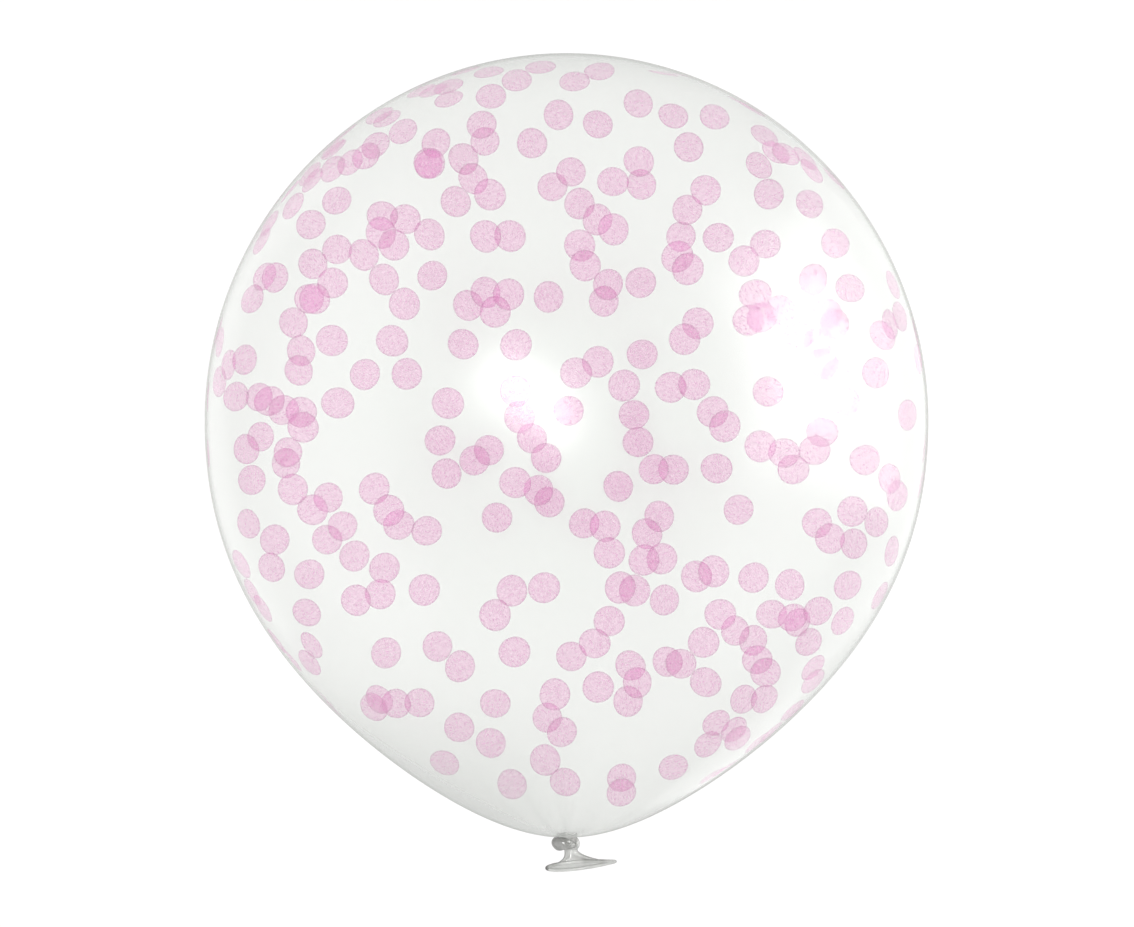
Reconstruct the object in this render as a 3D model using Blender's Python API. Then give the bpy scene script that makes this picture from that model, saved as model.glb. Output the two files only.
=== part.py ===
"""Confetti balloon: a clear latex balloon, blown up with air, knotted and lying on its side.

Metres, +Z up. The balloon's long axis lies along Y, with the crown at +Y and the knotted mouth at -Y.
The origin is the middle of the flat spot that it rests on, straight below its widest section.

The bulb is a surface of revolution: a half ellipsoid at the crown, and at the mouth end a half
ellipsoid that is drawn slimmer the nearer it comes to the knot. The knot is a fat wrap of latex round
the neck with a thin bight beside it, and below it the mouth flares into a flattened, lopsided funnel
with a rolled lip. All of it is one dipped piece of latex, so it is one solid.
"""

from math import cos, pi, radians, sin

import bmesh
import bpy
from mathutils import Vector

# Bulb
BULB_RADIUS = 0.300
CROWN_HEIGHT = 1.018 * BULB_RADIUS  # widest section to the tip of the crown
NECK_DEPTH = 1.150 * BULB_RADIUS  # widest section to where the bulb runs into the knot
NECK_TAPER = 0.30  # share by which the bulb is slimmer than an ellipsoid at the knot
NECK_TAPER_POWER = 3.0  # how late that slimming sets in
FLAT_DEPTH = 0.003  # height of the slice that is flat where the balloon rests
AXIS_HEIGHT = BULB_RADIUS - FLAT_DEPTH
BULB_SIDES = 64
BULB_BANDS = 46

# Knot
KNOT_DROP = 0.0048  # from the end of the bulb to the middle of the knot
WRAP_OFFSET = -0.0008  # the wrap's middle stands this far left of the long axis
WRAP_RING_RADIUS = 0.0062  # middle of the wrap to the middle of its roll
WRAP_FAT_RADIUS = 0.0054  # radius of the roll where it is fattest, on the left
WRAP_THIN_RADIUS = 0.0036  # and where it is thinnest, on the right
WRAP_TILT = radians(-5.0)  # the fat side is pressed against the bulb
WRAP_STEPS = 30
WRAP_SIDES = 12
BIGHT_OFFSET = 0.0059  # the bight's middle stands this far right of the long axis
BIGHT_RING_RADIUS = 0.0041
BIGHT_RADIUS = 0.0018
BIGHT_RISE = 0.0003
BIGHT_LEAN = radians(35.0)
BIGHT_STEPS = 24
BIGHT_SIDES = 8

# Mouth: the gathered neck runs through the knot, flares below it and ends in a rolled lip
NECK_START = 0.0040  # how far inside the bulb the neck's solid begins
NECK_LENGTH = 0.0103  # end of the bulb to where the neck leaves the knot
NECK_RADIUS = 0.0050
NECK_GATHER = 0.0028  # how much wider the neck is where it leaves the bulb
MOUTH_OFFSET = 0.0037  # the mouth's centre line stands this far right of the long axis
MOUTH_LENGTH = 0.0131
LIP_REACH_LEFT = 0.0200  # centre line to the middle of the rolled lip
LIP_REACH_RIGHT = 0.0366
LIP_HALF_THICKNESS = 0.0066
LIP_RADIUS = 0.0015
LIP_START = 0.72  # how far down the mouth its plain outside ends and the roll begins
FLARE_LEFT = 2.8  # powers of the way down: a higher one flares later and more sharply
FLARE_RIGHT = 1.6
FLARE_THICKNESS = 1.2
PINCH_RIGHT = 1.0  # how much the right end is pressed flat, as a power added at the lip
LIP_SLOPE = radians(5.5)  # the right end of the lip stands higher
LIP_TURN = radians(28.0)  # the mouth faces up from the floor by this much
PLEATS = 5
PLEAT_DEPTH = 0.14  # share of the neck's radius, at the knot
FUNNEL_SHARE = 0.80  # size of the hollow beside the outside of the mouth
THROAT = 0.25  # how far down the mouth its hollow begins
MOUTH_SIDES = 40
NECK_BANDS = 3
MOUTH_BANDS = 7
LIP_BANDS = 5
FUNNEL_BANDS = 5

FLOOR_BLOCK = 0.5  # edge of the block that cuts the flat spot


def clear_scene():
    """Remove every object, so that the model starts from nothing."""
    for leftover in list(bpy.data.objects):
        bpy.data.objects.remove(leftover, do_unlink=True)


def placed(right, along, up):
    """A point given from the middle of the widest section: right, towards the crown, and up."""
    return Vector((right, along, AXIS_HEIGHT + up))


def solid_from_rings(name, rings, ring_of_rings=False):
    """Join neighbouring rings of points into one closed mesh object; a ring of one point is a pole."""
    shell = bmesh.new()
    loops = [[shell.verts.new(point) for point in ring] for ring in rings]
    pairs = list(zip(loops, loops[1:]))
    if ring_of_rings:
        pairs.append((loops[-1], loops[0]))
    for upper, lower in pairs:
        sides = max(len(upper), len(lower))
        for i in range(sides):
            j = (i + 1) % sides
            corners = (
                upper[i % len(upper)],
                upper[j % len(upper)],
                lower[j % len(lower)],
                lower[i % len(lower)],
            )
            shell.faces.new(list(dict.fromkeys(corners)))
    if shell.calc_volume(signed=True) < 0:
        bmesh.ops.reverse_faces(shell, faces=shell.faces)
    mesh = bpy.data.meshes.new(name)
    shell.to_mesh(mesh)
    shell.free()
    solid = bpy.data.objects.new(name, mesh)
    bpy.context.collection.objects.link(solid)
    return solid


def as_helper(solid):
    """Mark a solid that is only joined to or cut from another one."""
    solid.hide_render = True
    solid.display_type = "WIRE"
    return solid


def turns(count):
    """The angles of count equal steps round a full turn."""
    return [2 * pi * i / count for i in range(count)]


# ---------------------------------------------------------------- bulb


def bulb_section(angle):
    """Place along the axis and radius of the bulb, for an angle of 0 at the crown and pi at the knot."""
    lengthwise = cos(angle)
    radius = BULB_RADIUS * sin(angle)
    if lengthwise >= 0:
        return CROWN_HEIGHT * lengthwise, radius
    slimming = 1 - NECK_TAPER * (-lengthwise) ** NECK_TAPER_POWER
    return NECK_DEPTH * lengthwise, radius * slimming


def make_bulb():
    """The air-filled bulb, turned about the balloon's long axis."""
    rings = [[placed(0, CROWN_HEIGHT, 0)]]
    for band in range(1, BULB_BANDS):
        along, radius = bulb_section(pi * band / BULB_BANDS)
        rings.append(
            [placed(radius * cos(turn), along, radius * sin(turn)) for turn in turns(BULB_SIDES)]
        )
    rings.append([placed(0, -NECK_DEPTH, 0)])
    return solid_from_rings("balloon", rings)


def make_floor_block():
    """A block under the floor, which slices off the flat spot."""
    block = bmesh.new()
    bmesh.ops.create_cube(block, size=FLOOR_BLOCK)
    bmesh.ops.translate(block, verts=block.verts, vec=(0, 0, -FLOOR_BLOCK / 2))
    mesh = bpy.data.meshes.new("floor_block")
    block.to_mesh(mesh)
    block.free()
    solid = bpy.data.objects.new("floor_block", mesh)
    bpy.context.collection.objects.link(solid)
    return as_helper(solid)


# ---------------------------------------------------------------- knot


def make_wrap():
    """The roll of latex wound round the neck: a tilted ring, fat on the left and thin on the right."""
    middle = -NECK_DEPTH - KNOT_DROP
    rings = []
    for turn in turns(WRAP_STEPS):
        share = (1 + cos(turn)) / 2
        roll = WRAP_FAT_RADIUS + (WRAP_THIN_RADIUS - WRAP_FAT_RADIUS) * share
        ring = []
        for side in turns(WRAP_SIDES):
            out = WRAP_RING_RADIUS + roll * cos(side)
            rise = roll * sin(side) + out * cos(turn) * sin(WRAP_TILT)
            ring.append(placed(WRAP_OFFSET + out * cos(turn), middle + rise, out * sin(turn)))
        rings.append(ring)
    return as_helper(solid_from_rings("knot_wrap", rings, ring_of_rings=True))


def make_bight():
    """The thin bight on the right of the knot: a small ring that leans out of the wrap."""
    middle = -NECK_DEPTH - KNOT_DROP + BIGHT_RISE
    rings = []
    for turn in turns(BIGHT_STEPS):
        ring = []
        for side in turns(BIGHT_SIDES):
            out = BIGHT_RING_RADIUS + BIGHT_RADIUS * cos(side)
            across = out * cos(turn)
            lift = BIGHT_RADIUS * sin(side)
            ring.append(
                placed(
                    BIGHT_OFFSET + across * cos(BIGHT_LEAN) - lift * sin(BIGHT_LEAN),
                    middle + out * sin(turn),
                    across * sin(BIGHT_LEAN) + lift * cos(BIGHT_LEAN),
                )
            )
        rings.append(ring)
    return as_helper(solid_from_rings("knot_bight", rings, ring_of_rings=True))


# ---------------------------------------------------------------- mouth


def neck_ring(way):
    """One section of the gathered neck, from 0 inside the bulb to 1 where it leaves the knot."""
    along = -NECK_DEPTH + NECK_START - (NECK_START + NECK_LENGTH) * way
    radius = NECK_RADIUS + NECK_GATHER * (1 - way)
    ring = []
    for angle in turns(MOUTH_SIDES):
        out = radius * (1 + PLEAT_DEPTH * cos(PLEATS * angle))
        ring.append(placed(MOUTH_OFFSET * way + out * cos(angle), along, out * sin(angle)))
    return ring


def mouth_centre(way):
    """The mouth's centre line, from 0 at the knot to 1 at the lip."""
    return placed(MOUTH_OFFSET, -NECK_DEPTH - NECK_LENGTH - MOUTH_LENGTH * way, 0)


def mouth_directions(way):
    """Unit directions across the mouth to the right, through its thickness, and out of it."""
    slope = LIP_SLOPE * way
    turn = LIP_TURN * way
    right = Vector((cos(slope), sin(slope), 0))
    through = Vector((-sin(slope) * sin(turn), cos(slope) * sin(turn), cos(turn)))
    return right, through, right.cross(through)


def mouth_offset(way, angle):
    """Right and through offsets of the mouth's outside, at an angle of 0 at its right end."""
    right_side = cos(angle) >= 0
    reach = LIP_REACH_RIGHT if right_side else LIP_REACH_LEFT
    flare = FLARE_RIGHT if right_side else FLARE_LEFT
    pinch = PINCH_RIGHT * way if right_side else 0.0
    pleat = 1 + PLEAT_DEPTH * (1 - way) ** 2 * cos(PLEATS * angle)
    across = NECK_RADIUS + (reach - NECK_RADIUS) * way**flare
    thick = NECK_RADIUS + (LIP_HALF_THICKNESS - NECK_RADIUS) * way**FLARE_THICKNESS
    return (
        across * cos(angle) * pleat,
        thick * sin(angle) * abs(sin(angle)) ** pinch * pleat,
    )


def mouth_ring(way, share=1.0):
    """One section of the mouth's outside, or of its hollow where share is less than 1."""
    right, through, _ = mouth_directions(way)
    ring = []
    for angle in turns(MOUTH_SIDES):
        across, thick = mouth_offset(way, angle)
        ring.append(mouth_centre(way) + right * across * share + through * thick * share)
    return ring


def lip_ring(roll):
    """A ring on the rolled lip, at a roll of 0 where it stands out furthest and pi/2 at its end."""
    right, through, outwards = mouth_directions(1.0)
    step = pi / MOUTH_SIDES
    ring = []
    for angle in turns(MOUTH_SIDES):
        across, thick = mouth_offset(1.0, angle)
        across_before, thick_before = mouth_offset(1.0, angle - step)
        across_after, thick_after = mouth_offset(1.0, angle + step)
        edge_normal = right * (thick_after - thick_before) - through * (across_after - across_before)
        edge_normal.normalize()
        ring.append(
            mouth_centre(1.0)
            + right * across
            + through * thick
            + edge_normal * LIP_RADIUS * cos(roll)
            + outwards * LIP_RADIUS * sin(roll)
        )
    return ring


def make_mouth():
    """Neck, flared mouth, rolled lip and the open funnel inside it, as one closed skin."""
    neck = [neck_ring(band / NECK_BANDS) for band in range(NECK_BANDS)]
    outside = [mouth_ring(LIP_START * band / MOUTH_BANDS) for band in range(MOUTH_BANDS + 1)]
    lip = [lip_ring(-pi / 3 + (5 * pi / 6) * band / (LIP_BANDS - 1)) for band in range(LIP_BANDS)]
    inside = []
    for band in range(FUNNEL_BANDS):
        way = 1 - (1 - THROAT) * band / FUNNEL_BANDS
        inside.append(mouth_ring(way, FUNNEL_SHARE * (1 - band / FUNNEL_BANDS) ** 0.5))
    top = placed(0, -NECK_DEPTH + NECK_START, 0)
    rings = [[top], *neck, *outside, *lip, *inside, [mouth_centre(THROAT)]]
    return as_helper(solid_from_rings("mouth", rings))


# ---------------------------------------------------------------- balloon


def latex():
    """Clear latex, a little grey and glossy."""
    material = bpy.data.materials.new("clear_latex")
    material.use_nodes = True
    surface = material.node_tree.nodes["Principled BSDF"]
    surface.inputs["Base Color"].default_value = (0.80, 0.81, 0.79, 1.0)
    surface.inputs["Roughness"].default_value = 0.08
    surface.inputs["Metallic"].default_value = 0.0
    surface.inputs["Alpha"].default_value = 0.30
    return material


def combine(target, other, operation):
    """Join another solid to the target, or cut it away."""
    boolean = target.modifiers.new(other.name, "BOOLEAN")
    boolean.operation = operation
    boolean.solver = "EXACT"
    boolean.object = other


def make_balloon():
    """The whole balloon as one solid: bulb, knot and mouth joined, and the flat spot cut."""
    knotted_mouth = make_mouth()
    combine(knotted_mouth, make_wrap(), "UNION")
    combine(knotted_mouth, make_bight(), "UNION")
    balloon = make_bulb()
    balloon.data.materials.append(latex())
    combine(balloon, knotted_mouth, "UNION")
    combine(balloon, make_floor_block(), "DIFFERENCE")
    balloon.data.shade_smooth()
    return balloon


clear_scene()
make_balloon()
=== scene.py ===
import logging
from collections.abc import Callable, Sequence
from dataclasses import dataclass
from enum import Enum

import bpy
import numpy as np
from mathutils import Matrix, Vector


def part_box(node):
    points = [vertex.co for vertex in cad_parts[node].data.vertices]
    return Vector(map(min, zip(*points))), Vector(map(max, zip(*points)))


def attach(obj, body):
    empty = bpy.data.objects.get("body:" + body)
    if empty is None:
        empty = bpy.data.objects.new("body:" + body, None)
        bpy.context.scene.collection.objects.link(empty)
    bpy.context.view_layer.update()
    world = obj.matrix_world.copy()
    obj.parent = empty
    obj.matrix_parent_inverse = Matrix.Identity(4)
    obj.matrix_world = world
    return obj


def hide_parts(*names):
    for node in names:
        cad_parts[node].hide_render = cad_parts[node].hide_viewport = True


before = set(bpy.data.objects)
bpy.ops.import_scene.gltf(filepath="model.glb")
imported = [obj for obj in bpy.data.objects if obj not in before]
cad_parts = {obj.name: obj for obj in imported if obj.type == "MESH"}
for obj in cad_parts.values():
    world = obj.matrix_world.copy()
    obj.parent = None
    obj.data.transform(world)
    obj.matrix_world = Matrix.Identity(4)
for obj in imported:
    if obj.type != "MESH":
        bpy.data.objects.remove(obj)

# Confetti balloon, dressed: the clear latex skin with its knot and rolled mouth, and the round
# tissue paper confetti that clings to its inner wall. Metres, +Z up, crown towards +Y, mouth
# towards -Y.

log = logging.getLogger("confetti_balloon")

Array = np.ndarray
Chance = np.random.Generator
Material = bpy.types.Material
Owner = bpy.types.Material | bpy.types.World
Piece = bpy.types.Object
Triple = tuple[float, float, float]
Colour = Triple
Span = tuple[float, float]

BODY = "root"
NODE = "balloon"
FULL_TURN = 2 * np.pi
WHITE: Colour = (1.0, 1.0, 1.0)
NECK_RADII = 1.150
SCHLICK_POWER = 5.0
SLOPE_STEP = 1e-3
NEWTON_STEPS = 5


class MaterialSlot(Enum):
    """The record's material slots."""

    LATEX = "clear_latex"
    CONFETTI = "tissue_confetti"


# ---------- shader maths


def math_method(operation: str, swapped: bool = False) -> Callable[..., "Value"]:
    """A method that adds one Math node.

    Args:
        operation: the Math node's operation.
        swapped: True where the value that the method belongs to is the second operand.

    Returns:
        The method.
    """

    def method(value: "Value", *others: "Value | float") -> "Value":
        """Add the node and return its result."""
        inputs = dict(enumerate([*others, value] if swapped else [value, *others]))
        return value.graph.add("ShaderNodeMath", {"operation": operation}, inputs)

    return method


class Value:
    """A number on its way through a material's nodes, with Python's operators."""

    def __init__(self, graph: "NodeGraph", socket: bpy.types.NodeSocket) -> None:
        """Wrap the output socket of a graph's node."""
        self.graph = graph
        self.socket = socket

    __add__, __radd__ = math_method("ADD"), math_method("ADD", swapped=True)
    __sub__, __rsub__ = math_method("SUBTRACT"), math_method("SUBTRACT", swapped=True)
    __mul__, __rmul__ = math_method("MULTIPLY"), math_method("MULTIPLY", swapped=True)
    __truediv__, __rtruediv__ = math_method("DIVIDE"), math_method("DIVIDE", swapped=True)
    __pow__, __rpow__ = math_method("POWER"), math_method("POWER", swapped=True)
    at_least = math_method("MAXIMUM")
    root = math_method("SQRT")
    arctan2 = math_method("ARCTAN2")

    def step(self, start: float, end: float) -> "Value":
        """A smooth step from 0 at start to 1 at end."""
        inputs = {"Value": self, "From Min": start, "From Max": end}
        return self.graph.add("ShaderNodeMapRange", {"interpolation_type": "SMOOTHSTEP"}, inputs)


class NodeGraph:
    """The nodes of one new material, or of the sky."""

    def __init__(self, owner: Owner, output: str = "ShaderNodeOutputMaterial") -> None:
        """Clear the owner's nodes, apart from a new output.

        Args:
            owner: the material or the sky.
            output: the output node's type.
        """
        owner.use_nodes = True
        self.owner = owner
        self.tree = owner.node_tree
        self.tree.nodes.clear()
        self.output = self.tree.nodes.new(output)

    @classmethod
    def of_material(cls, name: str) -> "NodeGraph":
        """Start a new material."""
        return cls(bpy.data.materials.new(name))

    def add(
        self,
        kind: str,
        settings: dict[str, object] | None = None,
        inputs: dict[int | str, object] | None = None,
        output: int | str = 0,
    ) -> Value:
        """Add a node of any kind.

        Args:
            kind: the node's type.
            settings: the node's own settings, which are set first.
            inputs: the value or link for each input socket, by name or number. A colour is its red,
                green and blue.
            output: the output socket to return, by name or number.

        Returns:
            The chosen output.
        """
        node = self.tree.nodes.new(kind)
        for key, setting in (settings or {}).items():
            setattr(node, key, setting)
        for key, given in (inputs or {}).items():
            socket = node.inputs[key]
            if isinstance(given, Value):
                self.tree.links.new(given.socket, socket)
            else:
                socket.default_value = (*given, 1.0) if socket.type == "RGBA" else given
        return Value(self, node.outputs[output])

    def mix_colour(self, share: Value, first: Colour | Value, second: Colour | Value) -> Value:
        """A colour between two others: the first where share is 0, the second where it is 1."""
        inputs = {0: share, 6: first, 7: second}
        return self.add("ShaderNodeMix", {"data_type": "RGBA"}, inputs, 2)

    def split(self, vector: Value) -> tuple[Value, Value, Value]:
        """The three numbers of a vector."""
        parts = self.add("ShaderNodeSeparateXYZ", inputs={0: vector}).socket.node
        return tuple(Value(self, parts.outputs[i]) for i in range(3))

    def noise(
        self, place: Sequence[Value], scales: Sequence[float], detail: float, roughness: float = 0.5
    ) -> Value:
        """Soft noise from 0 to 1.

        Args:
            place: the numbers that it follows.
            scales: how many blotches it has to a unit of each.
            detail: how many finer layers it has.
            roughness: how strong the finer layers are.

        Returns:
            The noise.
        """
        parts = {i: number * scale for i, (number, scale) in enumerate(zip(place, scales))}
        vector = self.add("ShaderNodeCombineXYZ", None, parts)
        inputs = {"Vector": vector, "Scale": 1.0, "Detail": detail, "Roughness": roughness}
        return self.add("ShaderNodeTexNoise", None, inputs)

    def bump(self, height: Value, strength: float, distance: float) -> Value:
        """Normals for a relief in which 1 of height stands for distance."""
        inputs = {"Height": height, "Strength": strength, "Distance": distance}
        return self.add("ShaderNodeBump", None, inputs)

    def cosine(self, least: float) -> Value:
        """The cosine of the angle between sight line and normal, or least where it is smaller."""
        facing = self.add("ShaderNodeLayerWeight", None, {"Blend": 0.5}, "Facing")
        return (1.0 - facing).at_least(least)

    def surface(self, inputs: dict[str, object]) -> Value:
        """The surface shader, with the values or links of its sockets."""
        return self.add("ShaderNodeBsdfPrincipled", None, inputs)

    def mix_shader(self, share: Value, first: Value, second: Value) -> Value:
        """A shader between two others: the first where share is 0, the second where it is 1."""
        return self.add("ShaderNodeMixShader", None, {0: share, 1: first, 2: second})

    def see_through(self, cover: Value, passed: Colour, surface: Value) -> Value:
        """A surface that covers a share of what lies behind, and tints what passes it."""
        clear = self.add("ShaderNodeBsdfTransparent", None, {"Color": passed})
        return self.mix_shader(cover, clear, surface)

    def finish(self, surface: Value) -> Owner:
        """Show a shader, and return the finished material or sky."""
        self.tree.links.new(surface.socket, self.output.inputs["Surface"])
        return self.owner


# ---------- finishes


def film_cover(haze: Value, cosine: Value) -> Value:
    """The share of light that a film of haze holds back: 1 - (1 - haze) ** (1 / cosine)."""
    return 1.0 - (1.0 - haze) ** (1.0 / cosine)


def scaled(span: Span, size: float) -> Span:
    """Both ends of a span, times a size."""
    return span[0] * size, span[1] * size


@dataclass(frozen=True)
class ClearLatex:
    """Stretched clear latex: a faintly milky, glossy film that looks denser when seen edge-on.

    Its gloss follows Schlick's formula, and gives way to the film's own grey where the surface is
    seen all but edge-on. The inner face is dusted with powder, so it has none. Towards the crown
    and the knot the film is greyer and hazier. Part of that is because the latex is thicker there,
    where a blown-up balloon has stretched least, and part is painted shade, which also greys the
    lower left by the knot. Spans by the crown and the neck are in shares of the crown's height and
    the neck's depth.
    """

    colour: Colour = (0.53, 0.54, 0.522)
    # A greyer colour towards the crown and the knot: partly thicker latex, partly painted shade.
    thick_shaded_colour: Colour = (0.47, 0.48, 0.463)
    passed: Colour = (0.960, 0.970, 0.957)
    haze: float = 0.050
    clouding: float = 0.30
    cloud_scale: float = 5.0
    # Extra haze towards both ends, at the crown tip and by the knot greys the film there: painted
    # shade, partly thicker latex.
    end_shade_haze: float = 0.017
    crown_side: Span = (0.45, 0.92)
    neck_side: Span = (0.40, 0.90)
    crown_shade_haze: float = 0.015
    crown_tip: Span = (0.86, 1.02)
    neck_haze: float = 0.018
    neck_tip: Span = (0.55, 1.0)
    # Haze on the left side by the knot, which greys the film there: painted shade.
    left_neck_shade_haze: float = 0.09
    left_part: Span = (-0.08, 0.04)
    streak_haze: float = 0.05
    streak_scales: Span = (3.0, 4.0)
    streak_step: Span = (0.45, 0.75)
    streak_gathering: float = 3.0
    matt_roughness: float = 0.5
    gloss: float = 0.35
    gloss_roughness: float = 0.25
    head_on_mirror: float = 0.04
    gloss_span: Span = (0.09, 0.16)
    thinnest_cosine: float = 0.085

    def haziness(self, graph: NodeGraph, bulb: "BulbShape") -> tuple[Value, Value]:
        """How milky the film is, and how much it greys: partly thicker latex, partly painted shade.

        Args:
            graph: the material's nodes.
            bulb: the bulb that the film covers, for the places of its crown and knot.

        Returns:
            The haze, and a share that greys the film's colour, from 0 on the sides to 1 at the
            crown
            and the knot: partly thicker latex, partly painted shade.
        """
        place = graph.split(graph.add("ShaderNodeTexCoord", output="Object"))
        across, along, height = place
        below = 0.0 - along
        crown, neck = bulb.crown_height, bulb.neck_depth
        crown_side = along.step(*scaled(self.crown_side, crown))
        neck_side = below.step(*scaled(self.neck_side, neck))
        crown_tip = along.step(*scaled(self.crown_tip, crown))
        neck_tip = below.step(*scaled(self.neck_tip, neck))
        left = 1.0 - across.step(*self.left_part)
        cloud = graph.noise(place, [self.cloud_scale] * 3, detail=2.0)
        turn = (height - bulb.axis_height).arctan2(across)
        streaks = graph.noise((turn, along), self.streak_scales, detail=3.0, roughness=0.6)
        # The end, crown and neck terms, and the left one by the knot, grey the film by place:
        # painted shade, partly thicker latex.
        haze = (
            self.haze * (1.0 + self.clouding * (cloud - 0.5))
            + self.end_shade_haze * (crown_side + neck_side)
            + self.crown_shade_haze * crown_tip
            + self.neck_haze * neck_tip
            + self.left_neck_shade_haze * neck_tip * left
            + self.streak_haze * streaks.step(*self.streak_step) * neck_tip**self.streak_gathering
        )
        return haze, crown_tip + neck_tip

    def material(self, bulb: "BulbShape") -> Material:
        """Make the film's material.

        Schlick's formula: mirrored = head_on_mirror + (1 - head_on_mirror) (1 - cosine) ** 5.

        Args:
            bulb: the bulb that the film covers.

        Returns:
            The material.
        """
        graph = NodeGraph.of_material("clear_latex_film")
        haze, thickness_and_shade = self.haziness(graph, bulb)
        cosine = graph.cosine(self.thinnest_cosine)
        # Greyer towards the crown and the knot: partly thicker latex, partly painted shade.
        colour = graph.mix_colour(thickness_and_shade, self.colour, self.thick_shaded_colour)
        matt = {"Base Color": colour, "Roughness": self.matt_roughness, "Specular IOR Level": 0.0}
        skin = graph.see_through(film_cover(haze, cosine), self.passed, graph.surface(matt))
        mirror = {"Base Color": WHITE, "Metallic": 1.0, "Roughness": self.gloss_roughness}
        rest = 1.0 - self.head_on_mirror
        mirrored = self.head_on_mirror + rest * (1.0 - cosine) ** SCHLICK_POWER
        inside = graph.add("ShaderNodeNewGeometry", output="Backfacing")
        share = self.gloss * mirrored * cosine.step(*self.gloss_span) * (1.0 - inside)
        return graph.finish(graph.mix_shader(share, skin, graph.surface(mirror)))


@dataclass(frozen=True)
class GatheredLatex:
    """The same latex where it is hardly stretched: thick and grey. Painted shade darkens its colour
    where it is seen edge-on and in the hollows of its folds.

    At the left it is thickest, and its colour is painted as dark as at its edges, as painted shade.
    That wears off over the span at its left end.
    """

    name: str
    # Painted shade in the hollows of the folds' relief; the paler colour shows on its ridges.
    hollow_shade: Colour = (0.50, 0.505, 0.485)
    pale: Colour = (0.64, 0.645, 0.625)
    # The dark colour seen edge-on and at the left end: painted shade.
    edge: Colour = (0.07, 0.07, 0.066)
    passed: Colour = (0.93, 0.935, 0.925)
    haze: float = 0.42
    fold_haze: float = 0.12
    fold_scales: Triple = (90.0, 30.0, 90.0)
    fold_step: Span = (0.35, 0.65)
    # The left end is hazier, and painted as dark as the edges: painted shade.
    end_shade_haze: float = 0.4
    painted_shade_end: Span = (-0.0168, -0.0132)
    edge_span: Span = (0.12, 0.72)
    bump_strength: float = 0.4
    bump_height: float = 0.0012
    roughness: float = 0.22
    specular: float = 0.5
    thinnest_cosine: float = 0.12

    def material(self) -> Material:
        """Make the material.

        Returns:
            The material.
        """
        graph = NodeGraph.of_material(self.name)
        place = graph.split(graph.add("ShaderNodeTexCoord", output="Object"))
        folds = graph.noise(place, self.fold_scales, detail=0.0)
        # The darker colour where the bump is low: painted shade in the fold hollows.
        unshaded_ridges = folds.step(*self.fold_step)
        # Where the left end's painted shade wears off.
        unshaded_end = place[0].step(*self.painted_shade_end)
        cosine = graph.cosine(self.thinnest_cosine)
        haze = self.haze + self.fold_haze * unshaded_ridges + self.end_shade_haze * (1.0 - unshaded_end)
        body = graph.mix_colour(unshaded_ridges, self.hollow_shade, self.pale)
        # Painted shade: the colour darkens to the edge colour where seen edge-on and at the left
        # end.
        unshaded_share = cosine.step(*self.edge_span) * unshaded_end
        surface = graph.surface(
            {
                "Base Color": graph.mix_colour(unshaded_share, self.edge, body),
                "Roughness": self.roughness,
                "Specular IOR Level": self.specular,
                "Normal": graph.bump(folds, self.bump_strength, self.bump_height),
            }
        )
        return graph.finish(graph.see_through(film_cover(haze, cosine), self.passed, surface))


@dataclass(frozen=True)
class TissuePaper:
    """Pink tissue paper, with matted fibres and a denser cut edge.

    It covers the cover share of what lies behind it: more where fibres are matted, and at the edge.
    """

    place_attribute: str = "disc_place"
    pale: Colour = (0.79, 0.175, 0.55)
    deep: Colour = (0.61, 0.130, 0.43)
    edge: Colour = (0.47, 0.13, 0.34)
    matting_scales: Triple = (5.0, 3.0, 60.0)
    thread_scales: Triple = (9.0, 5.0, 90.0)
    fibre_step: Span = (0.30, 0.70)
    edge_span: Span = (0.84, 0.95)
    edge_tint: float = 0.8
    cover: float = 0.40
    fibre_cover: float = 0.175
    edge_cover: float = 0.07
    bump_strength: float = 0.15
    bump_height: float = 0.0003
    roughness: float = 0.85
    specular: float = 0.2

    def material(self) -> Material:
        """Make the material, from each disc's own coordinates.

        They are across and along, from -1 to 1 over the disc, and the disc's own number.

        Returns:
            The material.
        """
        graph = NodeGraph.of_material("pink_tissue")
        named = {"attribute_name": self.place_attribute}
        own = graph.split(graph.add("ShaderNodeAttribute", named, output="Vector"))
        across, along, _ = own
        matting = graph.noise(own, self.matting_scales, detail=2.0, roughness=0.6)
        threads = graph.noise(own, self.thread_scales, detail=1.0)
        fibres = (matting.step(*self.fibre_step) + threads.step(*self.fibre_step)) / 2.0
        rim = (across * across + along * along).root().step(*self.edge_span)
        body = graph.mix_colour(fibres, self.pale, self.deep)
        cover = self.cover + self.fibre_cover * (fibres - 0.5) + self.edge_cover * rim
        surface = graph.surface(
            {
                "Base Color": graph.mix_colour(self.edge_tint * rim, body, self.edge),
                "Roughness": self.roughness,
                "Specular IOR Level": self.specular,
                "Normal": graph.bump(fibres, self.bump_strength, self.bump_height),
            }
        )
        return graph.finish(graph.see_through(cover, WHITE, surface))


@dataclass(frozen=True)
class PaleFloor:
    """A plain white light table: a white diffusing sheet, softly lit from beneath."""

    colour: Colour = (0.40, 0.40, 0.40)
    glow: float = 0.55

    def material(self) -> Material:
        """Make the floor's material.

        Returns:
            The material.
        """
        graph = NodeGraph.of_material("pale_floor")
        inputs = {
            "Base Color": self.colour,
            "Roughness": 1.0,
            "Specular IOR Level": 0.0,
            "Emission Color": WHITE,
            "Emission Strength": self.glow,
        }
        return graph.finish(graph.surface(inputs))


# ---------- meshes from grids


def even_turns(count: int) -> Array:
    """The angles of count equal steps round a full turn."""
    return np.arange(count) * FULL_TURN / count


def turn_grid(rows: int, sides: int) -> tuple[Array, Array]:
    """Even turns down a column of rows, and along a row of sides."""
    return even_turns(rows)[:, None], even_turns(sides)[None, :]


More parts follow.
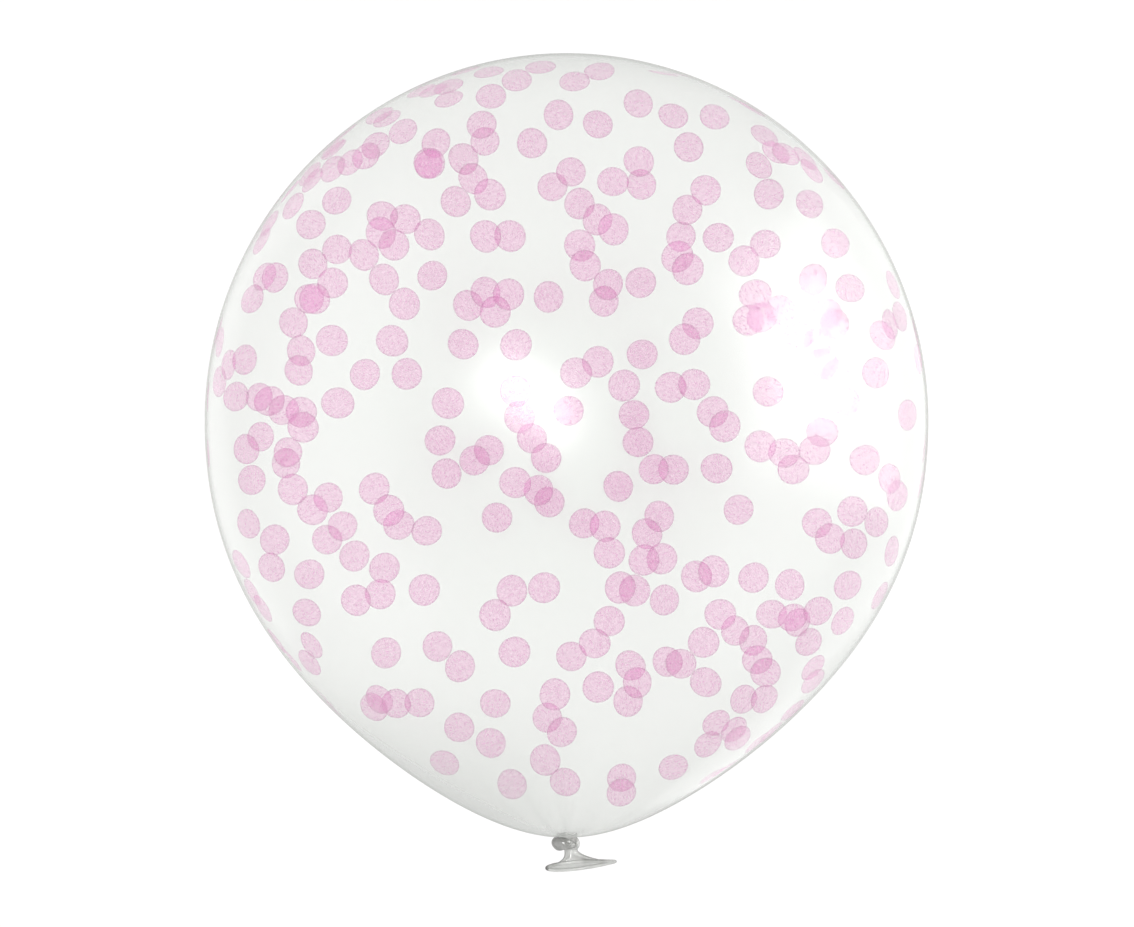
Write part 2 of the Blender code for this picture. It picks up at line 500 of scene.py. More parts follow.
def vectors(x: Array | float, y: Array | float, z: Array | float) -> Array:
    """Vectors from their three parts, spread over one grid."""
    return np.stack(np.broadcast_arrays(x, y, z), axis=-1)


def unit(long: Array) -> Array:
    """The same vectors, one long."""
    return long / np.linalg.norm(long, axis=-1, keepdims=True)


def ring_quads(rows: int, sides: int, first: int = 0, ring_of_rings: bool = False) -> Array:
    """Quads between neighbouring rings of points, numbered ring by ring.

    Args:
        rows: how many rings there are.
        sides: how many points each ring has.
        first: the number of the first ring's first point.
        ring_of_rings: True where the last ring joins the first.

    Returns:
        An array of quads, four corner numbers each.
    """
    grid = first + np.arange(rows * sides).reshape(rows, sides)
    after = np.roll(grid, -1, axis=0)
    corners = (grid, np.roll(grid, -1, axis=1), np.roll(after, -1, axis=1), after)
    quads = np.stack(corners, axis=-1)
    return (quads if ring_of_rings else quads[:-1]).reshape(-1, 4)


def pole_triangles(pole: int, first: int, sides: int) -> Array:
    """Triangles from a pole to each side of the ring whose first point is given."""
    side = np.arange(sides)
    return np.stack([np.full(sides, pole), first + side, first + (side + 1) % sides], axis=-1)


def enclosed_volume(points: Array, triangles: Array) -> float:
    """The volume in a skin, above 0 where its faces point outwards: the sum of a . (b x c) / 6."""
    a, b, c = (points[triangles[:, k]] for k in range(3))
    return float(np.sum(a * np.cross(b, c)) / 6)


class Skin:
    """The points and faces of one piece, gathered from closed runs of rings."""

    def __init__(self) -> None:
        """Start with nothing."""
        self.points = np.empty((0, 3))
        self.faces: list[list[int]] = []

    def add(self, rings: Array, poles: Sequence[Array] = ()) -> None:
        """Add a closed run of rings, with its faces turned outwards.

        Args:
            rings: an array of rows by sides by 3.
            poles: the points that close it before its first ring and after its last. Where there
                are none, the last ring joins the first.
        """
        rows, sides, _ = rings.shape
        quads = ring_quads(rows, sides, ring_of_rings=not poles)
        head = pole_triangles(rows * sides, 0, sides)[:, ::-1]
        tail = pole_triangles(rows * sides + 1, (rows - 1) * sides, sides)
        triangles = np.concatenate([head, tail])[: 2 * sides if poles else 0]
        points = np.concatenate([rings.reshape(-1, 3), np.reshape(poles, (-1, 3))])
        halves = np.concatenate([quads[:, [0, 1, 2]], quads[:, [0, 2, 3]], triangles])
        if enclosed_volume(points, halves) < 0:
            quads, triangles = quads[:, ::-1], triangles[:, ::-1]
        first = len(self.points)
        self.faces += (quads + first).tolist() + (triangles + first).tolist()
        self.points = np.concatenate([self.points, points])

    def install(self, name: str, material: Material) -> None:
        """Make the skin a piece of latex that shows part of the plain solid."""
        piece = make_piece(name, self.points, self.faces, material)
        install(piece, stands_for_node=True)


def make_piece(name: str, points: Array, faces: list[list[int]], material: Material) -> Piece:
    """Make a smooth mesh object.

    Args:
        name: the piece's name.
        points: an array of points.
        faces: the corner numbers of each face.
        material: the piece's material.

    Returns:
        The object, at the origin, with its place in its mesh.
    """
    mesh = bpy.data.meshes.new(name)
    mesh.from_pydata(points.tolist(), [], faces)
    mesh.shade_smooth()
    mesh.materials.append(material)
    piece = bpy.data.objects.new(name, mesh)
    bpy.context.scene.collection.objects.link(piece)
    return piece


def install(piece: Piece, stands_for_node: bool) -> None:
    """Let a piece ride on the balloon's body.

    Args:
        piece: the piece.
        stands_for_node: True where it shows part of the plain solid, which is then hidden.
    """
    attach(piece, BODY)
    if stands_for_node:
        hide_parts(NODE)
    log.info("%s: %d faces, rides on %s", piece.name, len(piece.data.polygons), BODY)


# ---------- the bulb


@dataclass(frozen=True)
class BulbShape:
    """The bulb's outline, turned about the long axis.

    It is an ellipsoid at the crown, and one at the mouth end that is drawn slimmer the nearer it
    comes to the knot.
    """

    radius: float
    axis_height: float
    crown_height: float
    neck_depth: float
    taper: float = 0.30
    taper_power: float = 3.0
    crease: float = 0.0012

    def section(self, angle: Array) -> tuple[Array, Array]:
        """Places along the axis and distances from it.

        Crown half: along = crown_height cos a, out = radius sin a. Mouth half: along = neck_depth
        cos a, out = radius sin a (1 - taper (-cos a) ** taper_power).

        Args:
            angle: 0 at the crown, pi at the knot.

        Returns:
            The places along the axis, and the distances out from it.
        """
        lengthwise = np.cos(angle)
        slimming = 1 - self.taper * np.maximum(-lengthwise, 0) ** self.taper_power
        along = np.where(lengthwise >= 0, self.crown_height, self.neck_depth) * lengthwise
        return along, self.radius * np.sin(angle) * slimming

    def slope(self, angle: Array) -> tuple[Array, Array]:
        """How fast along and out change with the angle, from points SLOPE_STEP apart."""
        before = np.array(self.section(angle - SLOPE_STEP / 2))
        return tuple((self.section(angle + SLOPE_STEP / 2) - before) / SLOPE_STEP)

    def normal(self, angle: Array) -> tuple[Array, Array]:
        """The outward unit normal's parts along the axis and away from it."""
        along_slope, out_slope = self.slope(angle)
        return tuple(np.array((out_slope, -along_slope)) / np.hypot(along_slope, out_slope))

    def place(self, angle: Array, turn: Array, inset: Array | float = 0.0) -> Array:
        """Points on the bulb, set in along its normal.

        A point is (out cos turn, along, axis_height + out sin turn).

        Args:
            angle: 0 at the crown, pi at the knot.
            turn: 0 on the right, pi/2 on top.
            inset: how far inside the skin.

        Returns:
            An array of points.
        """
        along, out = self.section(angle)
        normal_along, normal_out = self.normal(angle)
        out = out - inset * normal_out
        along = along - inset * normal_along
        return vectors(out * np.cos(turn), along, self.axis_height + out * np.sin(turn))

    def nearest_angle(self, along: Array, out: Array) -> Array:
        """The angle whose section point is nearest.

        It starts from atan2(out / radius, along / reach) and takes a few Newton steps: the angle
        grows by the miss along the slope, over the slope's length squared.

        Args:
            along: places along the axis.
            out: distances from it.

        Returns:
            The angles.
        """
        reach = np.where(along >= 0, self.crown_height, self.neck_depth)
        angle = np.arctan2(out / self.radius, along / reach)
        for _ in range(NEWTON_STEPS):
            there_along, there_out = self.section(angle)
            along_slope, out_slope = self.slope(angle)
            miss = (along - there_along) * along_slope + (out - there_out) * out_slope
            angle = angle + miss / (along_slope**2 + out_slope**2)
        return angle

    def settle(self, points: Array, lift: float = 0.0) -> Array:
        """Flatten what sinks below lift: a height h over it becomes (h + hypot(h, crease)) / 2."""
        x, y, z = np.moveaxis(points, -1, 0)
        return vectors(x, y, lift + (z - lift + np.hypot(z - lift, self.crease)) / 2)


@dataclass
class Bulb:
    """The air-filled part of the balloon."""

    shape: BulbShape
    finish: ClearLatex = ClearLatex()
    sides: int = 300
    bands: int = 220
    gather_reach: float = 0.045
    gather_depth: float = 0.0005
    gather_folds: tuple[int, ...] = (5, 8, 13)

    def gathers(self, out: Array, turn: Array) -> Array:
        """The film's dip by the knot: depth s exp(-s s) mean cos(n turn + n), s = out / reach."""
        share, waves = out / self.gather_reach, [np.cos(n * turn + n) for n in self.gather_folds]
        return self.gather_depth * share * np.exp(-(share**2)) * np.mean(waves, axis=0)

    def build(self) -> None:
        """Make the film as a closed skin with a point at the crown and one in the knot."""
        angle = (np.pi * np.arange(1, self.bands) / self.bands)[:, None]
        turn = even_turns(self.sides)[None, :]
        _, out = self.shape.section(angle)
        dip = np.where(angle > np.pi / 2, self.gathers(out, turn), 0.0)
        rings = self.shape.settle(self.shape.place(angle, turn, dip))
        skin = Skin()
        crown = np.array([0.0, self.shape.crown_height, self.shape.axis_height])
        knot = np.array([0.0, -self.shape.neck_depth, self.shape.axis_height])
        skin.add(rings, (crown, knot))
        skin.install("balloon_skin", self.finish.material(self.shape))


# ---------- knot


@dataclass
class Knot:
    """A fat roll of latex wound round the neck, with a thin bight that leans out of it."""

    shape: BulbShape
    # Its dark edges, dark fold hollows and dark left part are painted shade.
    finish: GatheredLatex = GatheredLatex(
        "clear_latex_knot",
        (0.44, 0.442, 0.425),
        (0.62, 0.622, 0.605),
        (0.20, 0.20, 0.192),
        haze=0.36,
        painted_shade_end=(-0.0130, 0.0060),
    )
    drop: float = 0.0052
    wrap_offset: float = -0.0008
    wrap_ring: float = 0.0054
    wrap_fat: float = 0.0063
    wrap_thin: float = 0.0036
    wrap_tilt: float = np.radians(-5.0)
    twist_folds: int = 4
    twist_depth: float = 0.05
    bight_offset: float = 0.0059
    bight_ring: float = 0.0041
    bight_roll: float = 0.0018
    bight_rise: float = 0.0003
    bight_lean: float = np.radians(35.0)
    steps: int = 120
    sides: int = 40

    def wrap(self) -> Array:
        """The fat roll: a ring of circles round the long axis.

        roll = fat + (thin - fat)(1 + cos turn) / 2, times 1 - twist_depth t t, where t is (1 -
        cos(twist_folds side + 2 turn)) / 2; out = ring + roll cos side; right = offset + out cos
        turn; along = middle + roll sin side + out cos turn sin tilt; up = out sin turn, from the
        bulb's axis.

        Returns:
            Rings of points.
        """
        turn, side = turn_grid(self.steps, self.sides)
        share = (1 + np.cos(turn)) / 2
        groove = (1 - np.cos(self.twist_folds * side + 2 * turn)) / 2
        twist = 1 - self.twist_depth * groove**2
        roll = (self.wrap_fat + (self.wrap_thin - self.wrap_fat) * share) * twist
        out = self.wrap_ring + roll * np.cos(side)
        rise = roll * np.sin(side) + out * np.cos(turn) * np.sin(self.wrap_tilt)
        right = self.wrap_offset + out * np.cos(turn)
        along = rise - self.shape.neck_depth - self.drop
        return vectors(right, along, self.shape.axis_height + out * np.sin(turn))

    def bight(self) -> Array:
        """The thin loop: a ring of circles, leaned about the long axis.

        out = ring + roll cos side; right = offset + out cos turn cos lean - roll sin side sin lean;
        along = middle + out sin turn; up = out cos turn sin lean + roll sin side cos lean, from the
        bulb's axis.

        Returns:
            Rings of points.
        """
        turn, side = turn_grid(self.steps, self.sides // 2)
        out = self.bight_ring + self.bight_roll * np.cos(side)
        across, lift = out * np.cos(turn), self.bight_roll * np.sin(side)
        cosine, sine = np.cos(self.bight_lean), np.sin(self.bight_lean)
        right = self.bight_offset + across * cosine - lift * sine
        up = across * sine + lift * cosine
        middle = -self.shape.neck_depth - self.drop + self.bight_rise
        return vectors(right, middle + out * np.sin(turn), self.shape.axis_height + up)

    def build(self) -> None:
        """Make both rolls as one piece."""
        skin = Skin()
        skin.add(self.wrap())
        skin.add(self.bight())
        skin.install("knot", self.finish.material())


# ---------- mouth


@dataclass
class Mouth:
    """The gathered neck, the lopsided flattened funnel below the knot, and its rolled lip."""

    shape: BulbShape
    # Its dark edges, dark fold hollows and dark lip end on the left are painted shade.
    finish: GatheredLatex = GatheredLatex("clear_latex_mouth")
    neck_start: float = 0.0040
    neck_length: float = 0.0103
    neck_radius: float = 0.0050
    neck_gather: float = 0.0028
    offset: float = 0.0037
    length: float = 0.0131
    reach_left: float = 0.0200
    reach_right: float = 0.0366
    half_thickness: float = 0.0066
    lip_radius: float = 0.0015
    lip_start: float = 0.90
    flare_left: float = 3.4
    flare_right: float = 1.6
    flare_thickness: float = 1.2
    pinch_right: float = 1.0
    lip_slope: float = np.radians(5.5)
    lip_turn: float = np.radians(28.0)
    pleats: int = 4
    pleat_depth: float = 0.10
    creases: int = 7
    crease_depth: float = 0.04
    crease_turn: float = 1.0
    lip_roll: Span = (-np.pi / 3, 1.25 * np.pi)
    funnel_start: float = 0.93
    funnel_share: float = 0.90
    throat: float = 0.25
    sides: int = 200
    neck_bands: int = 8
    mouth_bands: int = 30
    lip_bands: int = 16
    funnel_bands: int = 24

    def centre(self, way: Array) -> Array:
        """The mouth's centre line, straight down from the knot: way is 0 there and 1 at the lip."""
        along = -self.shape.neck_depth - self.neck_length - self.length * way
        return vectors(self.offset, along, self.shape.axis_height)

    def directions(self, way: Array) -> tuple[Array, Array, Array]:
        """Unit directions across the mouth, through it and out of it.

        right = (cos s, sin s, 0), through = (-sin s sin t, cos s sin t, cos t), out = right x
        through, where s and t are the lip's slope and turn, times way.

        Args:
            way: 0 at the knot, 1 at the lip.

        Returns:
            The three directions.
        """
        slope, turn = self.lip_slope * way, self.lip_turn * way
        cosine, sine = np.cos(slope), np.sin(slope)
        right = vectors(cosine, sine, 0.0)
        through = vectors(-sine * np.sin(turn), cosine * np.sin(turn), np.cos(turn))
        return right, through, np.cross(right, through)

    def offsets(self, way: Array, angle: Array) -> tuple[Array, Array]:
        """How far the outside lies to the right of the centre line, and through the mouth.

        across = neck_radius + (reach - neck_radius) way ** flare, thick likewise; the offsets are
        across cos a and thick sin a |sin a| ** pinch, times the pleats and creases.

        Args:
            way: 0 at the knot, 1 at the lip.
            angle: 0 at the mouth's right end.

        Returns:
            The offsets to the right, and through the mouth.
        """
        right_side = np.cos(angle) >= 0
        reach = np.where(right_side, self.reach_right, self.reach_left)
        flare = np.where(right_side, self.flare_right, self.flare_left)
        pinch = np.where(right_side, self.pinch_right * way, 0.0)
        pleat = 1 + self.pleat_depth * (1 - way) ** 2 * np.cos(self.pleats * angle)
        creases = np.cos(self.creases * angle + self.crease_turn)
        crease = 1 + self.crease_depth * np.sin(np.pi * way) ** 2 * creases
        neck = self.neck_radius
        across = neck + (reach - neck) * way**flare
        thick = neck + (self.half_thickness - neck) * way**self.flare_thickness
        sine = np.sin(angle)
        return across * np.cos(angle) * pleat, thick * sine * np.abs(sine) ** pinch * pleat * crease

    def rings(self, way: Array, share: Array | float = 1.0) -> Array:
        """Sections of the mouth: centre + right across share + through thick share.

        Args:
            way: 0 at the knot, 1 at the lip, one per section.
            share: 1 for the outside, less for the hollow.

        Returns:
            Rings of points.
        """
        column = way[:, None]
        across, thick = self.offsets(column, even_turns(self.sides)[None, :])
        right, through, _ = self.directions(column)
        scale = np.broadcast_to(share, way.shape)[:, None, None]
        offset = right * across[..., None] + through * thick[..., None]
        return self.centre(column) + offset * scale

    def neck(self) -> Array:
        """Sections of the gathered neck.

        out = (neck_radius + neck_gather (1 - way)) (1 + pleat_depth cos(pleats angle)).

        Returns:
            Rings of points.
        """
        way = (np.arange(self.neck_bands) / self.neck_bands)[:, None]
        angle = even_turns(self.sides)[None, :]
        along = self.neck_start - self.shape.neck_depth - (self.neck_start + self.neck_length) * way
        radius = self.neck_radius + self.neck_gather * (1 - way)
        out = radius * (1 + self.pleat_depth * np.cos(self.pleats * angle))
        right = self.offset * way + out * np.cos(angle)
        return vectors(right, along, self.shape.axis_height + out * np.sin(angle))

    def lip(self) -> Array:
        """The rolled lip: edge + normal radius cos roll + out radius sin roll.

        The normal is edge direction x out, and the edge's direction at a point is that from two
        points before it to two after it. The roll runs from the outside of the mouth, over the tip,
        to the inside.

        Returns:
            Rings of points.
        """
        roll = np.linspace(*self.lip_roll, self.lip_bands)[:, None, None]
        end = np.ones(1)
        (edge,) = self.rings(end)
        _, _, outwards = self.directions(end)
        direction = np.roll(edge, -2, axis=0) - np.roll(edge, 2, axis=0)
        normal = unit(np.cross(direction, outwards))
        return edge + self.lip_radius * (normal * np.cos(roll) + outwards * np.sin(roll))

    def build(self) -> None:
        """Make the neck, mouth, lip and hollow as one closed skin."""
        outside = self.rings(self.lip_start * np.linspace(0, 1, self.mouth_bands))
        step = np.arange(self.funnel_bands) / self.funnel_bands
        way_in = self.funnel_start - (self.funnel_start - self.throat) * step
        inside = self.rings(way_in, self.funnel_share * np.sqrt(1 - step))
        rings = np.concatenate([self.neck(), outside, self.lip(), inside])
        start = np.array([0.0, self.neck_start - self.shape.neck_depth, self.shape.axis_height])
        skin = Skin()
        skin.add(rings, (start, self.centre(np.array(self.throat))))
        skin.install("mouth", self.finish.material())


# ---------- confetti


@dataclass
class Confetti:
    """Round pieces of tissue paper that static holds against the inside of the film."""

    shape: BulbShape
    finish: TissuePaper = TissuePaper()
    count: int = 306
    radius: float = 0.0131
    seed: int = 63
    paired_share: float = 0.30
    nearest: float = 1.02
    nearest_seen: float = 1.12
    pair_nearest_seen: float = 0.58
    pair_apart: Span = (0.30, 0.95)
    places_tried: int = 60
    pair_places_tried: int = 12
    side_thinning: float = 0.60
    knot_clearance: float = 0.030
    first_inset: float = 0.0010
    pair_inset: float = 0.0009
    curl: float = 0.0007
    lean: float = np.radians(31.0)
    unsteadiness: float = np.radians(3.0)
    wobble: float = 0.014
    sides: int = 24
    ring_shares: tuple[float, ...] = (0.55, 1.0)
    area_steps: int = 2001

    def candidates(self, chance: Chance, count: int) -> tuple[Array, Array]:
        """Random places, even over the film but thinned towards its left and right sides.

        The film's area up to an angle is summed in steps, and an even chance of the whole is turned
        into an angle with it. A place is kept with a chance of 1 - side_thinning (1 - |upward part
        of the normal|).

        Args:
            chance: the seeded random numbers.
            count: how many to draw.

        Returns:
            The kept places' angles and turns.
        """
        table = np.linspace(0, np.pi, self.area_steps)
        along_slope, out_slope = self.shape.slope(table)
        _, out = self.shape.section(table)
        area = np.cumsum(out * np.hypot(along_slope, out_slope))
        angle = np.interp(chance.random(count) * area[-1], area, table)
        turn = chance.random(count) * FULL_TURN
        _, normal_out = self.shape.normal(angle)
        upward = np.abs(normal_out * np.sin(turn))
        kept = chance.random(count) > self.side_thinning * (1 - upward)
        return angle[kept], turn[kept]

    def frames(self, angle: Array, turn: Array) -> tuple[Array, Array, Array]:
        """Points of the film and their tangents.

        Args:
            angle: the points' angles.
            turn: their turns.

        Returns:
            The points, and their unit tangents towards the knot and round the axis.
        """
        point = self.shape.place(angle, turn)
        along_slope, out_slope = self.shape.slope(angle)
        down = vectors(out_slope * np.cos(turn), along_slope, out_slope * np.sin(turn))
        return point, unit(down), vectors(-np.sin(turn), 0.0, np.cos(turn))

    def onto_film(self, points: Array) -> tuple[Array, Array]:
        """Find the film's nearest place to each point.

        Args:
            points: an array of points.

        Returns:
            The places' angles and turns.
        """
        right, along, height = np.moveaxis(points, -1, 0)
        up = height - self.shape.axis_height
        return self.shape.nearest_angle(along, np.hypot(right, up)), np.arctan2(up, right)

    def foreshortening(self, spots: Array) -> Array:
        """How much narrower a disc looks from above: the cube root of the normal's upward part."""
        angle, turn = self.onto_film(spots)
        return np.cbrt(np.abs(self.shape.normal(angle)[1] * np.sin(turn)))

    def free(self, spots: Array, others: Array, nearest_seen: float, narrowed: Array) -> Array:
        """Whether places are clear of other discs, and stand off them as seen from above.

        Args:
            spots: one place, or several.
            others: the other discs' centres.
            nearest_seen: the least distance as seen from above, in diameters.
            narrowed: the foreshortening at each place, which that distance shrinks with.

        Returns:
            True for each place that is free.
        """
        apart = spots[..., None, :] - others
        closest = np.linalg.norm(apart, axis=-1).min(axis=-1)
        closest_seen = np.linalg.norm(apart[..., :2], axis=-1).min(axis=-1)
        width = 2 * self.radius
        return (closest > self.nearest * width) & (closest_seen > nearest_seen * width * narrowed)

    def scatter(self) -> tuple[Array, Array, Array]:
        """Choose the discs' places, one after another.

        First come discs that keep nearest diameters from one another, and nearest_seen diameters as
        seen from above, which spreads them evenly. Then the paired share of the discs lands, each
        partly over one of the first, its parent, and clear of all others, or pair_nearest_seen
        diameters from them as seen from above. A pair's centres are first + (last - first)
        root(chance) diameters apart.

        Returns:
            Each disc's angle and turn, and the number of its parent, or its own number.
        """
        chance = np.random.default_rng(self.seed)
        points = self.shape.place(*self.candidates(chance, self.places_tried * self.count))
        points = points[points[:, 1] > -self.shape.neck_depth + self.knot_clearance]
        first_apart, last_apart = self.pair_apart
        singles = round(self.count * (1 - self.paired_share))
        chosen = points[:1]
        for spot, narrowed in zip(points[1:], self.foreshortening(points[1:])):
            if len(chosen) == singles:
                break
            if self.free(spot, chosen, self.nearest_seen, narrowed):
                chosen = np.vstack([chosen, spot])
        parents = list(range(len(chosen)))
        for parent in chance.permutation(len(chosen)):
            if len(chosen) == self.count:
                break
            headings = chance.random(self.pair_places_tried) * FULL_TURN
            shares = np.sqrt(chance.random(self.pair_places_tried))
            distances = first_apart + (last_apart - first_apart) * shares
            centre, down, around = self.frames(*self.onto_film(chosen[parent]))
            aside = np.outer(np.cos(headings), down) + np.outer(np.sin(headings), around)
            spots = centre + 2 * self.radius * distances[:, None] * aside
            spots = self.shape.place(*self.onto_film(spots))
            others = np.delete(chosen, parent, axis=0)
            free = self.free(spots, others, self.pair_nearest_seen, self.foreshortening(spots))
            if free.any():
                chosen = np.vstack([chosen, spots[np.argmax(free)]])
                parents.append(parent)
        log.info("confetti: %d discs, %d of them over another", len(chosen), len(chosen) - singles)
        angle, turn = self.onto_film(chosen)
        return angle, turn, np.array(parents)

    def leans(self, angle: Array, turn: Array, chance: Chance) -> Array:
        """Which way, and how steeply, each disc nears the film.

        On the slopes a disc touches the film with its outer edge and sags towards level: it nears
        the film downhill on the upper side and uphill on the lower side, by tan(lean) steepness
        min(1, 2 levelness), plus an unsteady part. Steepness is the slope's sine, and levelness its
        cosine.

        Args:
            angle: the discs' angles.
            turn: their turns.
            chance: the seeded random numbers.

        Returns:
            An array of vectors along the film.
        """
        _, down, around = self.frames(angle, turn)
        uphill = down * down[:, 2:] + around * around[:, 2:]
        steepness = np.linalg.norm(uphill, axis=-1, keepdims=True)
        side = np.where(np.sin(turn) < 0, 1.0, -1.0)[:, None]
        level = np.minimum(2 * np.sqrt(np.maximum(1 - steepness**2, 0.0)), 1.0)
        sways = np.tan(self.unsteadiness) * chance.standard_normal((2, len(angle), 1))
        return side * np.tan(self.lean) * level * uphill + sways[0] * down + sways[1] * around

    def stand_off(self, flat: Array, centre: Array, lean: Array, parent: Array) -> Array:
        """How far the discs' points stand off the film. A disc lies in its parent's plane.

        |lean| radius - lean . (point - parent's centre), plus what a disc would reach through the
        film.

        Args:
            flat: the discs' points in the planes that touch the film.
            centre: their centres.
            lean: their leans.
            parent: their parents.

        Returns:
            An array of discs by points.
        """
        own_lean = lean[parent]
        nearer = np.sum(own_lean * (centre - centre[parent]), axis=-1)
        most = np.linalg.norm(lean, axis=-1) * self.radius
        np.maximum.at(most, parent, np.linalg.norm(own_lean, axis=-1) * self.radius + nearer)
        offset = flat - centre[parent][:, None, :]
        return most[parent][:, None] - np.sum(own_lean[:, None, :] * offset, axis=-1)

    def build(self) -> None:
        """Make all the discs as one piece.

        A disc's points are its tangent-plane circle, cut a little oval and three-sided by wobble,
        laid onto the film and set in by how it stands off the film, plus curl r r (1 + cos(2 t +
        phase)) / 2, where r is 1 at the edge and t goes round it.
        """
        angle, turn, parent = self.scatter()
        chance = np.random.default_rng(self.seed + 1)
        discs = len(angle)
        shares = np.concatenate([[0.0], np.repeat(self.ring_shares, self.sides)])
        round_disc = np.concatenate([[0.0], np.tile(even_turns(self.sides), len(self.ring_shares))])
        phase = chance.random((4, discs, 1)) * FULL_TURN
        oval = np.cos(2 * round_disc + phase[0])
        trefoil = np.cos(3 * round_disc + phase[1])
        reach = self.radius * shares * (1 + self.wobble * (oval + trefoil / 2))
        point, down, around = self.frames(angle, turn)
        x, y = (reach * np.cos(round_disc))[..., None], (reach * np.sin(round_disc))[..., None]
        flat = point[:, None] + down[:, None] * x + around[:, None] * y
        curled = self.curl * chance.random((discs, 1)) * shares**2
        curled = curled * (1 + np.cos(2 * round_disc + phase[2])) / 2
        paired = (parent != np.arange(discs))[:, None]
        inset = self.first_inset + self.pair_inset * paired + curled
        inset = inset + self.stand_off(flat, point, self.leans(angle, turn, chance), parent)
        points = self.shape.place(*self.onto_film(flat), inset)
        points = self.shape.settle(points, lift=self.first_inset)
        fan = pole_triangles(0, 1, self.sides)[:, ::-1]
        bands = ring_quads(len(self.ring_shares), self.sides, 1)
        starts = (np.arange(discs) * len(shares))[:, None, None]
        faces = (starts + fan).reshape(-1, 3).tolist() + (starts + bands).reshape(-1, 4).tolist()
        piece = make_piece("confetti", points.reshape(-1, 3), faces, self.finish.material())
        turned = round_disc + phase[3]
        number = chance.random((discs, 1))
        own = vectors(shares * np.cos(turned), shares * np.sin(turned), number)
        self.mark(piece, own.reshape(-1, 3))
        install(piece, stands_for_node=False)

    def mark(self, piece: Piece, own: Array) -> None:
        """Store each point's place on its own disc, for the finish, and as the piece's UV map.

        Args:
            piece: the confetti.
            own: across and along the disc from -1 to 1, and the disc's number from 0 to 1.
        """
        mesh = piece.data
        attribute = mesh.attributes.new(self.finish.place_attribute, "FLOAT_VECTOR", "POINT")
        attribute.data.foreach_set("vector", own.astype(np.float32).ravel())
        corner_points = np.empty(len(mesh.loops), np.int32)
        mesh.loops.foreach_get("vertex_index", corner_points)
        uv = (1 + own[corner_points, :2]) / 2
        layer = mesh.uv_layers.new(name="disc_uv")
        layer.data.foreach_set("uv", uv.astype(np.float32).ravel())


# ---------- studio


@dataclass(frozen=True)
class Panel:
    """A soft light panel that only shows as a reflection."""

    name: str
    place: Triple
    aim: Triple
    width: float
    height: float
    radiance: float

    def build(self) -> None:
        """Make the panel as an area light; its power is radiance times pi times its area."""
        light = bpy.data.lights.new(self.name, "AREA")
        light.shape = "RECTANGLE"
        light.size, light.size_y = self.width, self.height
        light.energy = self.radiance * np.pi * self.width * self.height
        panel = bpy.data.objects.new(self.name, light)
        direction = Vector(self.aim) - Vector(self.place)
        panel.rotation_euler = direction.to_track_quat("-Z", "Y").to_euler()
        panel.location = self.place
        panel.visible_camera = False
        panel.visible_diffuse = False
        panel.visible_shadow = False
        bpy.context.scene.collection.objects.link(panel)


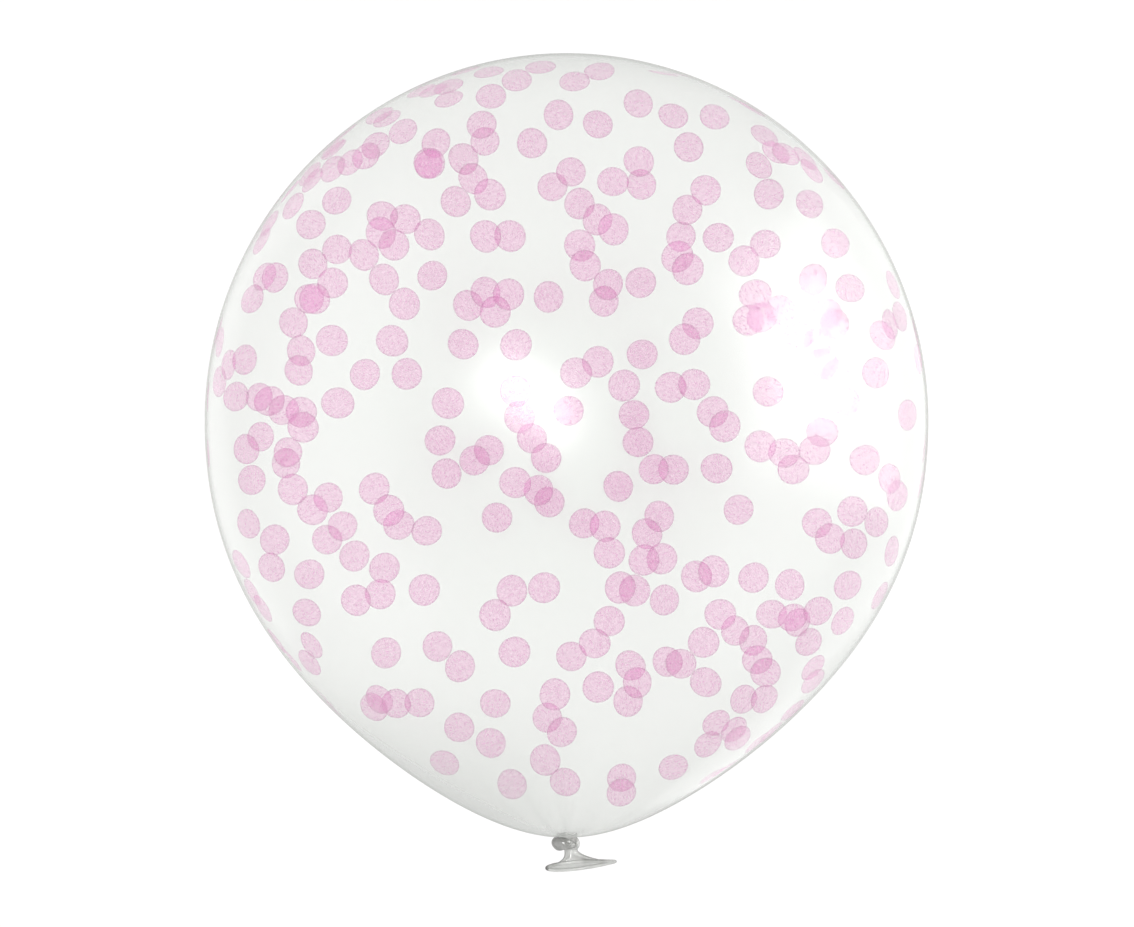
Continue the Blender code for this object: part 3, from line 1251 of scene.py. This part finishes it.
@dataclass
class Studio:
    """A white floor under an even white sky, soft panels, and a camera that looks straight down."""

    shape: BulbShape
    floor_size: float = 14.0
    floor_drop: float = 0.0004
    sky: float = 1.30
    sky_shown: float = 1.07
    camera_distance: float = 12.0
    sensor: float = 36.0
    lens: float = 459.4
    sight: float = 50.0
    films_passed: int = 32
    camera_place: Span = (0.0004, -0.0348)
    panels: tuple[Panel, ...] = (
        Panel("key_panel", (-0.80, 0.52, 4.50), (0.0, 0.0, 0.5), 0.76, 2.20, 46.0),
        Panel("key_glow", (-0.98, 0.50, 4.55), (0.0, 0.0, 0.5), 1.60, 3.00, 4.5),
        Panel("side_panel", (0.66, 0.18, 0.53), (0.0, 0.18, 0.53), 0.38, 0.34, 22.0),
        Panel("side_glow", (0.70, 0.22, 0.48), (0.0, 0.22, 0.48), 0.80, 0.84, 6.0),
        Panel("left_wall", (-1.60, 0.0, 0.72), (0.0, 0.0, 0.72), 4.6, 1.44, 1.8),
        Panel("right_wall", (1.60, 0.0, 0.80), (0.0, 0.0, 0.80), 4.6, 1.60, 2.0),
        Panel("left_strip", (-0.54, 0.14, 0.002), (-0.54, 0.14, 1.0), 0.22, 1.04, 1.0),
        Panel("right_strip", (0.65, 0.0, 0.002), (0.65, 0.0, 1.0), 0.50, 1.20, 1.2),
        Panel("corner_strip", (0.28, -0.50, 0.002), (0.28, -0.50, 1.0), 0.24, 0.26, 1.6),
    )

    def white_sky(self) -> bpy.types.World:
        """Make the sky, which lights with strength sky and shows as bright as the floor.

        Returns:
            The sky.
        """
        graph = NodeGraph(bpy.data.worlds.new("white_sky"), "ShaderNodeOutputWorld")
        shows = graph.add("ShaderNodeLightPath", output="Is Camera Ray")
        strength = self.sky + (self.sky_shown - self.sky) * shows
        inputs = {"Color": WHITE, "Strength": strength}
        return graph.finish(graph.add("ShaderNodeBackground", None, inputs))

    def build(self) -> None:
        """Make the floor, the sky, the panels and the camera."""
        scene = bpy.context.scene
        signs = np.array([[-1, -1], [1, -1], [1, 1], [-1, 1]])
        corners = vectors(*(signs.T * self.floor_size / 2), -self.floor_drop)
        floor = make_piece("floor", corners, [[0, 1, 2, 3]], PaleFloor().material())
        scene.world = self.white_sky()
        for panel in self.panels:
            panel.build()
        camera = bpy.data.cameras.new("camera")
        camera.lens = self.lens
        camera.sensor_width = self.sensor
        camera.clip_end = self.sight
        holder = bpy.data.objects.new("camera", camera)
        holder.location = (*self.camera_place, self.shape.axis_height + self.camera_distance)
        scene.collection.objects.link(holder)
        scene.camera = holder
        scene.view_settings.view_transform = "Standard"
        scene.cycles.transparent_max_bounces = self.films_passed
        scene.cycles.use_light_tree = False
        log.info("studio: floor, %d panels and camera", len(self.panels))


def bulb_from_frame() -> BulbShape:
    """Work out the bulb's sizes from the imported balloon's box.

    It is as wide as twice its radius, its top is a radius above its axis, and its crown is its
    furthest point along +Y. The knot is NECK_RADII radii from its widest part.

    Returns:
        The bulb's shape.
    """
    low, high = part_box(NODE)
    radius = (high.x - low.x) / 2
    return BulbShape(radius, high.z - radius, high.y, NECK_RADII * radius)


def main() -> None:
    """Build the balloon and its studio, in order."""
    logging.basicConfig(level=logging.INFO, format="%(name)s: %(message)s")
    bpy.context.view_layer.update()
    shape = bulb_from_frame()
    log.info("bulb: radius %.4f m, axis at %.4f m", shape.radius, shape.axis_height)
    for assembly in (Bulb(shape), Knot(shape), Mouth(shape), Confetti(shape), Studio(shape)):
        assembly.build()


if __name__ == "__main__":
    main()
